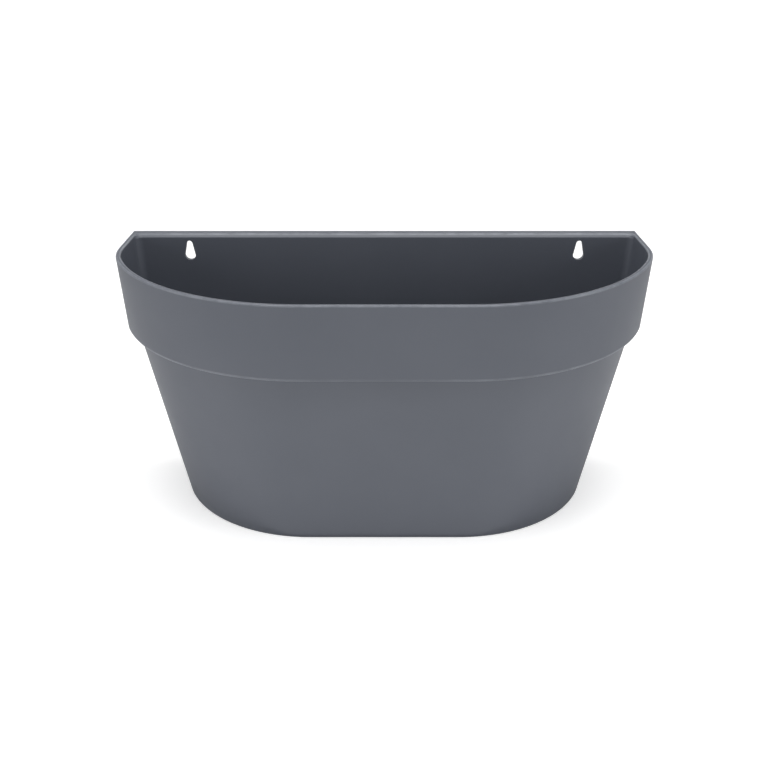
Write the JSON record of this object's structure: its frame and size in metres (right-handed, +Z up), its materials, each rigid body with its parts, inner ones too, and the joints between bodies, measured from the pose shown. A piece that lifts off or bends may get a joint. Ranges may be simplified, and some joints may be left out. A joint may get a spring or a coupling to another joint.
{
  "type": "wall planter",
  "caption": "Half-round wall planter with a raised band under its rim, keyholes in its flat back, a lift-out reservoir floor and push-in drain plugs.",
  "frame": {"origin": "middle of the underside of the planter's bounding box; the wall plane lies at y = +0.100 m", "axes": "+Z up, +Y towards the wall, +X to the right when the planter's front is looked at"},
  "size_m": [0.4798, 0.1999, 0.245],
  "materials": {
    "shell_plastic": "satin moulded, slate grey",
    "tray_plastic": "matt moulded, black",
    "plug_rubber": "matt, black"
  },
  "bodies": {
    "shell": {"planter_shell": "shell_plastic"},
    "reservoir": {"reservoir_floor": "tray_plastic"},
    "plug_left": {"drain_plug_left": "plug_rubber"},
    "plug_right": {"drain_plug_right": "plug_rubber"}
  },
  "joints": [
    {"name": "reservoir_lift", "type": "slide", "parent": "shell", "child": "reservoir", "axis": [0, 0, 1], "range_m": [0, 0.26]},
    {"name": "plug_left_pull", "type": "slide", "parent": "shell", "child": "plug_left", "axis": [0, 0, -1], "range_m": [0, 0.02]},
    {"name": "plug_right_pull", "type": "slide", "parent": "shell", "child": "plug_right", "axis": [0, 0, -1], "range_m": [0, 0.02]}
  ]
}
